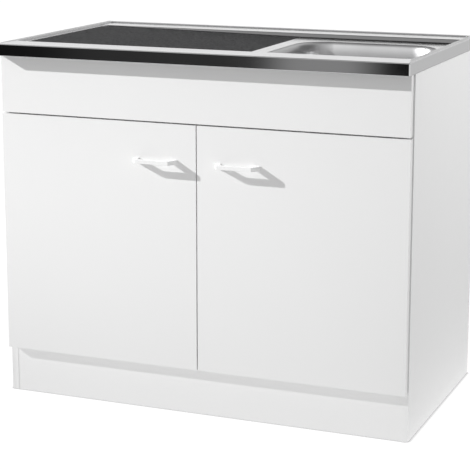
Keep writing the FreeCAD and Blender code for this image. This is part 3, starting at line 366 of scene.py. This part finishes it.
def outline(x0, y0, x1, y1, r, off, seg, straight=(1, 1)):
    """Points and outward normals of a rounded rectangle, grown by off, counter-clockwise from the right side's
    front corner. straight gives how many spans the sides along x and along y have."""
    pts = []
    rr = r + off
    corners = [(x1 - r, y0 + r, -90), (x1 - r, y1 - r, 0), (x0 + r, y1 - r, 90), (x0 + r, y0 + r, 180)]
    for k, (cx, cy, a0) in enumerate(corners):
        for i in range(seg + 1):
            a = math.radians(a0 + 90.0 * i / seg)
            n = (math.cos(a), math.sin(a))
            pts.append((cx + rr * n[0], cy + rr * n[1], n[0], n[1]))
        # points along the straight run to the next corner
        nx = corners[(k + 1) % 4]
        a = math.radians(a0 + 90)
        n = (math.cos(a), math.sin(a))
        p = (cx + rr * n[0], cy + rr * n[1])
        q = (nx[0] + rr * n[0], nx[1] + rr * n[1])
        spans = straight[1] if k % 2 == 0 else straight[0]
        for i in range(1, spans):
            f = i / spans
            pts.append((p[0] + (q[0] - p[0]) * f, p[1] + (q[1] - p[1]) * f, n[0], n[1]))
    return pts


class Sheet:
    """One skin of the pressed sheet, with a true normal at each vertex."""

    def __init__(self):
        self.v = []
        self.n = []
        self.f = []
        self.mat = []

    def add(self, p, n):
        self.v.append(Vector(p))
        self.n.append(Vector(n).normalized())
        return len(self.v) - 1

    def bridge(self, a, b, mat=0):
        """Quads between two rings of the same length."""
        k = len(a)
        for i in range(k):
            j = (i + 1) % k
            self.f.append((a[i], a[j], b[j], b[i]))
            self.mat.append(mat)

    def fill(self, loops, extra_lines, zf, nf, skip, region=lambda x, y: 0):
        """Triangulates the plan region between loops of existing vertices. skip(x, y) is true where there is a hole."""
        co, src, edges = [], [], []
        for loop in loops:
            s = len(co)
            for i in loop:
                co.append(Vector((self.v[i].x, self.v[i].y)))
                src.append(i)
            k = len(loop)
            edges += [(s + i, s + (i + 1) % k) for i in range(k)]
        for line in extra_lines:
            s = len(co)
            for p in line:
                co.append(Vector(p))
                src.append(None)
            edges += [(s + i, s + i + 1) for i in range(len(line) - 1)]
        verts, _, faces, orig, _, _ = delaunay_2d_cdt(co, edges, [], 0, 1e-4)
        idx = []
        for k, p in enumerate(verts):
            known = [src[o] for o in orig[k] if src[o] is not None]
            idx.append(known[0] if known else None)
        for face in faces:
            c = sum((verts[i] for i in face), Vector((0, 0))) / len(face)
            if skip(c.x, c.y):
                continue
            ids = []
            for i in face:
                if idx[i] is None:
                    p = verts[i]
                    idx[i] = self.add((p.x, p.y, zf(p.x, p.y)), nf(p.x, p.y))
                ids.append(idx[i])
            self.f.append(tuple(ids))
            self.mat.append(region(c.x, c.y))


def inside(x, y, rect, r, off=0.0):
    x0, y0, x1, y1 = rect
    qx = abs(x - (x0 + x1) / 2) - ((x1 - x0) / 2 - r)
    qy = abs(y - (y0 + y1) / 2) - ((y1 - y0) / 2 - r)
    d = math.hypot(max(qx, 0), max(qy, 0)) + min(max(qx, qy), 0) - r
    return d < off


def linen_field():
    """Outline of the embossed field, counter-clockwise from its front right corner; its left edge is toothed."""
    pts = [(79.0, -220.2), (79.0, 197.0)]
    r = 14.0
    x0, y0, y1 = -461.0, -220.2, 205.0
    for k in range(0, 7):
        a = math.radians(90 + 15 * k)
        pts.append((x0 + r + r * math.cos(a), y1 - r + r * math.sin(a)))
    y = y1 - r - 7.5
    while y > y0 + r + 2:
        pts.append((x0 - 11.0, y))
        pts.append((x0, y - 7.5))
        y -= 15.0
    for k in range(0, 7):
        a = math.radians(180 + 15 * k)
        pts.append((x0 + r + r * math.cos(a), y0 + r + r * math.sin(a)))
    return pts


def in_polygon(x, y, poly):
    hit = False
    for (ax, ay), (bx, by) in zip(poly, poly[1:] + poly[:1]):
        if (ay > y) != (by > y) and x < ax + (bx - ax) * (y - ay) / (by - ay):
            hit = not hit
    return hit


LINEN = linen_field()


def rim_side(x, y):
    """True on the two side strips of the rim, which meet the front and rear strips at a mitre."""
    if y < -222:
        t = (-222 - y) / 75
    elif y > 280:
        t = (y - 280) / 17
    else:
        t = 0
    return abs(x) - 480 > 17 * t


def build_sheet():
    S = Sheet()

    def ring(o, z, nr, nz, outer=True, seg=6, straight=(1, 1)):
        """Ring on the sink's outer outline, moved in by o; nr is the normal's outward share."""
        pts = outline(-HX, -HY, HX, HY, 4.0, -o if o <= 3 else -3.0, seg, straight)
        out = []
        for x, y, nx, ny in pts:
            if o > 3:
                x -= (o - 3) * (1 if x > 0 else -1)
                y -= (o - 3) * (1 if y > 0 else -1)
            out.append(S.add((x, y, z), (nx * nr, ny * nr, nz)))
        return out

    # apron: folded foot, fold, wall, top edge
    rings = [ring(26.0, FOOT, 0, -1), ring(2.9, FOOT, 0, -1), ring(1.2, FOOT, 0, -1)]
    for k in range(1, 5):
        a = math.radians(-90 + 22.5 * k)
        rings.append(ring(1.2 - 1.2 * math.cos(a), FOOT + 1.2 + 1.2 * math.sin(a), math.cos(a), math.sin(a)))
    for k in range(0, 7):
        a = math.radians(15 * k)
        rings.append(ring(2.0 - 2.0 * math.cos(a), TOP - 2.0 + 2.0 * math.sin(a), math.cos(a), math.sin(a)))
    for k, (a, b) in enumerate(zip(rings[:-1], rings[1:])):
        S.bridge(a, b, 4 if k < 9 else 0)
    rim_outer = rings[-1]

    # pan wall: top radius, short wall, foot radius, then the floor. o runs in from the pan's edge.
    seg = 10
    sx, sy = 60, 24

    def pan_pts(o):
        return outline(*PAN, PAN_R, -o, seg, (sx, sy))

    r1, r2 = 1.6, 2.2
    wall_x = r1 + 0.15
    rim_inner = None
    prev = None
    profile = []
    for k in range(0, 7):
        profile.append(("top", math.radians(15 * k)))
    for k in range(0, 7):
        profile.append(("foot", math.radians(90 - 15 * k)))
    pan_rings = []
    for kind, a in profile:
        ids = []
        for (x, y, nx, ny), (bx, by, _, _) in zip(pan_pts(0.0), pan_pts(r1 + r2 + 0.2)):
            zf = floor_z(bx, by)
            drop = TOP - zf
            # both radii shrink where the wall is low
            k1 = min(r1, drop * 0.42)
            k2 = min(r2, drop * 0.5)
            if kind == "top":
                o = k1 * math.sin(a)
                z = TOP - k1 * (1 - math.cos(a))
                n = (-nx * math.sin(a), -ny * math.sin(a), math.cos(a))
            else:
                o = k1 + 0.15 + k2 * (1 - math.sin(a))
                z = zf + k2 * (1 - math.cos(a))
                n = (-nx * math.sin(a), -ny * math.sin(a), math.cos(a))
            ids.append(S.add((x - nx * o, y - ny * o, z), n))
        pan_rings.append(ids)
    for a, b in zip(pan_rings[:-1], pan_rings[1:]):
        S.bridge(a, b)
    rim_inner, pan_floor = pan_rings[0], pan_rings[-1]
    for i in pan_floor:
        v = S.v[i]
        S.n[i] = floor_n(v.x, v.y)

    # flat rim between the two outlines
    mitres = [[(sx * 480.2, -222.6), (sx * 497.2, -297.2)] for sx in (-1, 1)]
    mitres += [[(sx * 480.2, 280.4), (sx * 497.2, 297.2)] for sx in (-1, 1)]
    def rim_n(x, y):
        """Shading normal of the rim: on the rear strip it leans very slightly towards the pan, though the strip itself
        stays flat.
        """
        t = math.radians(8.0) * min(1.0, max(0.0, (y - 280.0) / 2.0)) * min(1.0, max(0.0, (492.0 - abs(x)) / 10.0))
        return (0, -math.sin(t), math.cos(t))

    S.fill([rim_outer, rim_inner], mitres, lambda x, y: TOP, rim_n,
           lambda x, y: inside(x, y, PAN, PAN_R, -1e-3) or not inside(x, y, (-HX + 2, -HY + 2, HX - 2, HY - 2), 2.0, 1e-3),
           lambda x, y: 3 if rim_side(x, y) else 0)

    # bowl: lip, drafted wall, foot radius, floor, drain hole
    bs, bl = 22, 20
    t_lip = LIP * math.tan((math.pi / 2 - DRAFT) / 2)

    def bowl_ring(off, z, nr, nz):
        pts = outline(*MOUTH, MOUTH_R, off, bs, (bl, bl))
        return [S.add((x, y, z), (-nx * nr, -ny * nr, nz)) for x, y, nx, ny in pts]

    zp = 839.0
    brings = []
    turn = math.pi / 2 - DRAFT
    # the drawn wall leans a little near the mouth: its shading starts at HEAD and eases into the draft
    HEAD = math.radians(27)
    for k in range(0, 11):
        a = turn * k / 10
        b = (math.pi / 2 - HEAD) * k / 10
        brings.append(bowl_ring(t_lip - LIP * math.sin(a), zp - LIP * (1 - math.cos(a)), math.sin(b), math.cos(b)))
    off = t_lip - LIP * math.sin(turn)
    z = zp - LIP * (1 - math.cos(turn))
    # foot radius: centre such that it is tangent to the wall and to the floor
    wall_off_floor = -(zp - BOWL_Z) * math.tan(DRAFT)
    t_foot = BOWL_FOOT * math.tan(turn / 2)
    z_f0 = BOWL_Z + t_foot * math.cos(DRAFT)
    off_f0 = -(zp - z_f0) * math.tan(DRAFT)
    for k in range(1, 15):
        f = (k / 14) ** 1.6
        zk = z + (z_f0 - z) * f
        lean = DRAFT + (HEAD - DRAFT) * math.exp(-(z - zk) / 13.0)
        brings.append(bowl_ring(off + (off_f0 - off) * f, zk, math.cos(lean), math.sin(lean)))
    c_off = wall_off_floor - t_foot
    for k in range(1, 15):
        a = turn * (1 - k / 14)
        brings.append(bowl_ring(c_off + BOWL_FOOT * math.sin(a), BOWL_Z + BOWL_FOOT * (1 - math.cos(a)), math.sin(a), math.cos(a)))
    # floor: from the rounded rectangle to the drain's circle, flat at the floor's height
    base = brings[-1]
    for k in range(1, 9):
        f = k / 8
        ids = []
        for i in base:
            v = S.v[i]
            a = math.atan2(v.y - DRAIN[1], v.x - DRAIN[0])
            cx, cy = DRAIN[0] + DRAIN[2] * math.cos(a), DRAIN[1] + DRAIN[2] * math.sin(a)
            ids.append(S.add((v.x + (cx - v.x) * f, v.y + (cy - v.y) * f, BOWL_Z), (0, 0, 1)))
        brings.append(ids)
    for k, (a, b) in enumerate(zip(brings[:-1], brings[1:])):
        S.bridge(a, b, 2 if k >= 2 else 0)
    mouth = brings[0]

    # pan floor between the pan's foot and the bowl's lip, with lines along its bends
    lines = []
    edge = PAN[0] + 4.2

    def foot_y(x, d):
        fall = max(839.0 + (81.0 - x) * 8.0 / 565.0, 839.0)
        return WALL_FOOT + (fall - 839.0) * 10.8 / 8.5 + d

    for d in (-1.4, -0.7, 0.0, 0.7, 1.4):
        xs = [edge + 6 + (478.8 - edge - 6) * i / 60 for i in range(61)]
        keep = [x for x in xs if foot_y(x, d) < WALL_HEAD - 1.6]
        lines.append([(x, foot_y(x, d)) for x in keep])
    for d in (-1.4, -0.7, 0.0, 0.7, 1.4):
        lines.append([(edge + (478.8 - edge) * i / 60, WALL_HEAD + d) for i in range(61)])
    for d in (-7, 0, 3.5, 7):
        lines.append([(81.0 + d, -220.5), (81.0 + d, -100.0), (81.0 + d, 50.0), (81.0 + d, foot_y(81.0 + d, -1.4))])
    lines.append([LINEN[1], (79.0, foot_y(79.0, -1.4))])
    lines.append(LINEN + LINEN[:1])
    foot = [(S.v[i].x, S.v[i].y) for i in pan_floor]
    S.fill([pan_floor, mouth], lines, floor_z, floor_n,
           lambda x, y: inside(x, y, MOUTH, MOUTH_R, t_lip - 1e-3) or not in_polygon(x, y, foot),
           lambda x, y: 1 if in_polygon(x, y, LINEN) else 0)
    return S, rings[0], brings[-1]


def sheet_object(name):
    S, foot_edge, hole_edge = build_sheet()
    n = len(S.v)
    verts = [v * MM for v in S.v] + [(v - nn * SHEET) * MM for v, nn in zip(S.v, S.n)]
    faces, lnorm, mats = [], [], []

    def flip_if(face):
        a, b, c = (S.v[face[0]], S.v[face[1]], S.v[face[2]])
        g = Vector((0, 0, 0))
        for i in range(len(face)):
            p, q = S.v[face[i]], S.v[face[(i + 1) % len(face)]]
            g += p.cross(q)
        m = sum((S.n[i] for i in face), Vector((0, 0, 0)))
        return tuple(reversed(face)) if g.dot(m) < 0 else face

    for f, mt in zip(S.f, S.mat):
        f = flip_if(f)
        faces.append(f)
        lnorm += [S.n[i] for i in f]
        g = tuple(reversed(f))
        faces.append(tuple(i + n for i in g))
        lnorm += [-S.n[i] for i in g]
        mats += [mt, 0]
    # the two cut edges of the sheet
    count = {}
    for f in S.f:
        f = flip_if(f)
        for i in range(len(f)):
            a, b = f[i], f[(i + 1) % len(f)]
            count[(a, b)] = count.get((a, b), 0) + 1
    for (a, b) in count:
        if (b, a) not in count:
            quad = (b, a, a + n, b + n)
            e = (S.v[b] - S.v[a]).cross(S.n[a])
            faces.append(quad)
            pv = [Vector(verts[i]) for i in quad]
            nn = (pv[1] - pv[0]).cross(pv[2] - pv[0]).normalized()
            lnorm += [nn] * 4
            mats.append(0)
    me = bpy.data.meshes.new(name)
    me.from_pydata([tuple(v) for v in verts], [], faces)
    me.update()
    me.polygons.foreach_set("use_smooth", [True] * len(me.polygons))
    me.polygons.foreach_set("material_index", mats)
    me.normals_split_custom_set([tuple(v) for v in lnorm])
    ob = bpy.data.objects.new(name, me)
    scene.collection.objects.link(ob)
    bm = bmesh.new()
    bm.from_mesh(me)
    open_edges = [e for e in bm.edges if len(e.link_faces) != 2]
    print("sink sheet verts", len(me.vertices), "faces", len(me.polygons), "open edges", len(open_edges))
    for e in open_edges[:6]:
        print("  open", [tuple(round(c * 1000, 2) for c in v.co) for v in e.verts], len(e.link_faces))
    bm.free()
    return ob


sheet = sheet_object("pressed_sink")
for m in (MATS["steel_sheet"], steel_linen(), steel_bowl(), steel_side_rim(), steel_apron()):
    sheet.data.materials.append(m)
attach(sheet, "carcase")
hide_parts(*[n for n in ("sink_top", "sink_bowl") if n in nodes])


# ----------------------------------------------------- studio: floor, light
def floor_disc(radius):
    bm = bmesh.new()
    bmesh.ops.create_circle(bm, cap_ends=True, segments=96, radius=radius)
    me = bpy.data.meshes.new("studio_floor")
    bm.to_mesh(me)
    bm.free()
    ob = bpy.data.objects.new("studio_floor", me)
    scene.collection.objects.link(ob)
    return ob


# levels of the studio's lights
LEVEL = {"floor_seen": 1.0, "floor": 0.97, "floor_right": 0.52, "front_low": 0.0, "front_high": 0.70,
         "right_low": 1.0, "right_high": 0.12, "left_low": 0.0, "left_high": 0.12, "behind_low": 0.68,
         "behind_high": 0.78, "above": 0.34, "band": 0.95, "card": 0.025, "front_card": 0.010, "glow": 0.040, "strip": 0.33,
         "key": 4.2, "sidebox": 14.5}

floor = floor_disc(2.4)
floor.location = (0.1, -0.1, -0.0004)
fm = Mat("studio_floor", (0.12, 0.12, 0.12), 0.0, 0.9)
fm.b.inputs["Specular IOR Level"].default_value = 0.0
fm.b.inputs["Emission Color"].default_value = (1, 1, 1, 1)
# an overexposed white sweep with a painted contact shadow: only the crevice right under the boards' edges is painted
# darker, as the camera sees it
painted_contact_shade = fm.n.new("ShaderNodeAmbientOcclusion")
painted_contact_shade.samples = 8
painted_contact_shade.inputs["Distance"].default_value = 0.012
seen = fm.range(painted_contact_shade.outputs["AO"], 0.45, 0.92, 0.42 * LEVEL["floor_seen"], LEVEL["floor_seen"], False)
fx, fy, fz = fm.xyz()
lit = fm.range(fx, 0.40, 0.70, LEVEL["floor"], LEVEL["floor_right"], False)
eye = fm.n.new("ShaderNodeLightPath").outputs["Is Camera Ray"]
fm.l.new(fm.math("ADD", fm.math("MULTIPLY", eye, seen), fm.math("MULTIPLY", fm.math("SUBTRACT", 1.0, eye), lit)),
         fm.b.inputs["Emission Strength"])
fm.colour(fm.mix(fm.noise(1.5, 2), (0.115, 0.115, 0.115), (0.125, 0.125, 0.125)))
floor.data.materials.append(fm.m)

world = bpy.data.worlds.new("studio")
scene.world = world
world.use_nodes = True
wt = world.node_tree
wn, wl = wt.nodes, wt.links
wn.clear()
out = wn.new("ShaderNodeOutputWorld")
path = wn.new("ShaderNodeLightPath")
co = wn.new("ShaderNodeTexCoord")
sep = wn.new("ShaderNodeSeparateXYZ")
wl.new(co.outputs["Generated"], sep.inputs[0])


def wmath(op, a, b=None, clamp=False):
    m = wn.new("ShaderNodeMath")
    m.operation = op
    m.use_clamp = clamp
    for i, v in enumerate((a, b)):
        if v is None:
            continue
        if isinstance(v, (int, float)):
            m.inputs[i].default_value = v
        else:
            wl.new(v, m.inputs[i])
    return m.outputs[0]


def step(v, a, b, c=0.0, d=1.0):
    m = wn.new("ShaderNodeMapRange")
    m.interpolation_type = "SMOOTHSTEP"
    m.inputs["From Min"].default_value = a
    m.inputs["From Max"].default_value = b
    m.inputs["To Min"].default_value = c
    m.inputs["To Max"].default_value = d
    wl.new(v, m.inputs["Value"])
    return m.outputs["Result"]


def window(v, a, b, soft):
    return wmath("MULTIPLY", step(v, a - soft, a + soft), step(v, b - soft, b + soft, 1.0, 0.0))


def wmix(f, a, b):
    return wmath("ADD", wmath("MULTIPLY", wmath("SUBTRACT", 1.0, f), a), wmath("MULTIPLY", f, b))


dx, dy, dz = sep.outputs
DEG = math.pi / 180
el = wmath("ARCSINE", dz)
az_f = wmath("ARCTAN2", dx, wmath("MULTIPLY", dy, -1.0))    # from straight ahead, positive to the right
az_b = wmath("ARCTAN2", dx, dy)                               # from straight behind, positive to the right

# a plain room: front, back, left and right walls of light
front = wmix(step(el, -4 * DEG, 8 * DEG), LEVEL["front_low"], LEVEL["front_high"])
right = wmix(step(el, -6 * DEG, 8 * DEG), LEVEL["right_low"], LEVEL["right_high"])
left = wmix(step(el, -4 * DEG, 8 * DEG), LEVEL["left_low"], LEVEL["left_high"])
behind = wmix(step(el, -4 * DEG, 2 * DEG), LEVEL["behind_low"], LEVEL["behind_high"])
field = wmix(step(dy, -0.30, 0.30), front, behind)
field = wmix(step(dx, 0.35, 0.85), field, right)
field = wmix(step(dx, -0.85, -0.45, 1.0, 0.0), field, left)
field = wmix(step(el, 50 * DEG, 68 * DEG), field, LEVEL["above"])
# behind: a bright wall at the horizon with a dark card above it
wide = window(az_b, -48 * DEG, -4 * DEG, 5 * DEG)
band = wmath("MULTIPLY", wide, window(el, -1 * DEG, 15 * DEG, 3 * DEG))
card = wmath("MULTIPLY", wide, window(el, 19 * DEG, 73 * DEG, 4 * DEG))
field = wmix(band, field, LEVEL["band"])
field = wmix(card, field, LEVEL["card"])
# in front: a dark card with one lighter strip, seen in the apron
card_f = wmath("MULTIPLY", window(az_f, -50 * DEG, 4 * DEG, 5 * DEG), window(el, -30 * DEG, 8 * DEG, 5 * DEG))
strip = window(az_f, -20.8 * DEG, -17.3 * DEG, 0.9 * DEG)
glow = window(az_f, -28.3 * DEG, -20.5 * DEG, 1.5 * DEG)
field = wmix(card_f, field, wmix(strip, wmix(glow, LEVEL["front_card"], LEVEL["glow"]), LEVEL["strip"]))
bg_env = wn.new("ShaderNodeBackground")
wl.new(field, bg_env.inputs["Strength"])
bg_env.inputs["Color"].default_value = (1, 1, 1, 1)
bg_cam = wn.new("ShaderNodeBackground")
bg_cam.inputs["Color"].default_value = (1, 1, 1, 1)
bg_cam.inputs["Strength"].default_value = 1.05
mixs = wn.new("ShaderNodeMixShader")
wl.new(path.outputs["Is Camera Ray"], mixs.inputs[0])
wl.new(bg_env.outputs[0], mixs.inputs[1])
wl.new(bg_cam.outputs[0], mixs.inputs[2])
wl.new(mixs.outputs[0], out.inputs[0])

# the key: a far spot from the upper left, whose soft lower edge falls level across the plinth
travel = Vector((2.62, 1.0, -1.33)).normalized()
REACH, HALF = 14.0, math.radians(15.945)
key_data = bpy.data.lights.new("key", "SPOT")
key_data.energy = LEVEL["key"] * 4 * math.pi * REACH ** 2
key_data.shadow_soft_size = 0.10
key_data.spot_size = 2 * HALF
key_data.spot_blend = 0.28
key = bpy.data.objects.new("key", key_data)
scene.collection.objects.link(key)
key.location = Vector((0.0, -0.27, 0.6)) - travel * REACH
low = (Vector((0.0, -0.2525, 0.05)) - key.location).normalized()
tilt = math.radians(14.94)
beam = low * math.cos(tilt) + Vector((1.0, 0.0, 0.0)).cross(low).normalized() * math.sin(tilt)
key.rotation_mode = "QUATERNION"
key.rotation_quaternion = beam.to_track_quat("-Z", "Y")

def softbox(name, energy, size, place, target):
    """Soft area light that lights the object but isn't seen itself."""
    data = bpy.data.lights.new(name, "AREA")
    data.shape = "RECTANGLE"
    data.size = data.size_y = size
    data.energy = energy
    ob = bpy.data.objects.new(name, data)
    scene.collection.objects.link(ob)
    ob.location = place
    ob.rotation_mode = "QUATERNION"
    ob.rotation_quaternion = (Vector(target) - ob.location).to_track_quat("-Z", "Y")
    ob.visible_camera = False
    ob.visible_glossy = False
    return ob


# a softbox beside the right side panel, behind the plane of the doors
softbox("sidebox", LEVEL["sidebox"], 0.8, (2.20, 0.45, 1.35), (0.5, 0.0, 0.75))

# a flag keeps the key light off the left side panel
flag_me = bpy.data.meshes.new("studio_flag")
flag_x = -0.95
kx, ky, kz = key.location
fy0 = -0.2535 - (-0.5 - flag_x) * (-0.2535 - ky) / (-0.5 - kx) - 0.001
fz1 = 0.822 + (-0.5 - flag_x) * (kz - 0.822) / (-0.5 - kx)
flag_me.from_pydata([(flag_x, fy0, 0.02), (flag_x, 0.7, 0.02), (flag_x, 0.7, fz1), (flag_x, fy0, fz1)], [], [(0, 1, 2, 3)])
flag = bpy.data.objects.new("studio_flag", flag_me)
scene.collection.objects.link(flag)
flag.data.materials.append(fm.m)
flag.visible_camera = flag.visible_diffuse = flag.visible_glossy = flag.visible_transmission = False

scene.view_settings.view_transform = "Standard"
scene.view_settings.look = "None"
scene.view_settings.exposure = 0.0
scene.view_settings.gamma = 1.0
